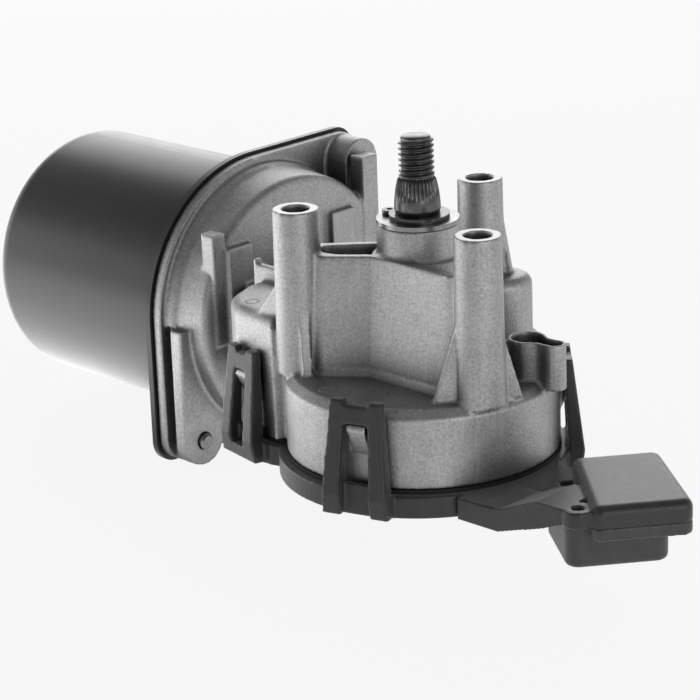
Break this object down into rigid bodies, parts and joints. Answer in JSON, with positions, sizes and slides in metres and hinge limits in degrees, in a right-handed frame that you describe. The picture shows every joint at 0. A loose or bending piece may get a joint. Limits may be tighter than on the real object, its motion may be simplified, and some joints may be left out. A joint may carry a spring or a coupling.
{
  "type": "wiper motor",
  "caption": "Windscreen wiper motor: a worm-driven gearbox with a threaded output shaft, three mounting posts, a clipped-on cover and a connector.",
  "frame": {"origin": "centre of the circle through the three mounting posts, on their end faces and on the output shaft's axis", "axes": "+Z along the output shaft, out of the housing; +X along the motor, away from its can; +Y to the side on which the motor lies off the output shaft"},
  "size_m": [0.2314, 0.1043, 0.0966],
  "materials": {
    "cast_aluminium": "fine-grained die casting",
    "black_lacquer": "satin black over drawn steel",
    "black_nylon": "moulded, glass filled",
    "grey_nylon": "moulded",
    "dark_steel": "blackened, turned",
    "spring_steel": "oiled spring steel",
    "zinc_steel": "zinc plated",
    "ground_steel": "ground",
    "bronze": "sintered bronze",
    "copper": "enamelled copper",
    "contact_brass": "rolled brass",
    "ferrite": "sintered ferrite",
    "laminations": "stamped electrical steel",
    "carbon": "pressed carbon",
    "acetal": "moulded",
    "phenolic": "moulded",
    "nitrile": "black rubber"
  },
  "bodies": {
    "root": {"motor_can": "black_lacquer", "upper_magnet": "ferrite", "lower_magnet": "ferrite", "magnet_springs": "spring_steel", "rear_bush": "bronze", "bush_retainer": "zinc_steel", "front_bush": "bronze", "thrust_pad": "acetal", "brush_plate": "phenolic", "brushes": "carbon", "brush_holders": "contact_brass", "brush_springs": "spring_steel", "suppression_chokes": "copper", "can_screws": "zinc_steel", "gear_housing": "cast_aluminium", "upper_bush": "bronze", "lower_bush": "bronze", "thrust_washer": "zinc_steel", "hub_washer": "zinc_steel", "shaft_seal": "nitrile", "cover_gasket": "nitrile", "gear_cover": "black_nylon", "park_contacts": "contact_brass", "lead_frame": "contact_brass", "connector_socket": "grey_nylon", "terminal_pins": "contact_brass"},
    "armature": {"armature_shaft": "ground_steel", "armature_core": "laminations", "armature_winding": "copper", "commutator": "copper"},
    "output": {"output_shaft": "dark_steel", "worm_wheel": "acetal", "contact_track": "contact_brass", "shaft_circlip": "spring_steel"}
  },
  "joints": [
    {"name": "armature_spin", "type": "hinge", "parent": "root", "child": "armature", "pos_m": [0, 0.031, -0.044], "axis": [1, 0, 0], "continuous": true},
    {"name": "output_spin", "type": "hinge", "parent": "root", "child": "output", "pos_m": [0, 0, 0], "axis": [0, 0, 1], "continuous": true}
  ],
  "couplings": [
    {"joint": "output_spin", "follows": "armature_spin", "ratio": 0.018868}
  ]
}
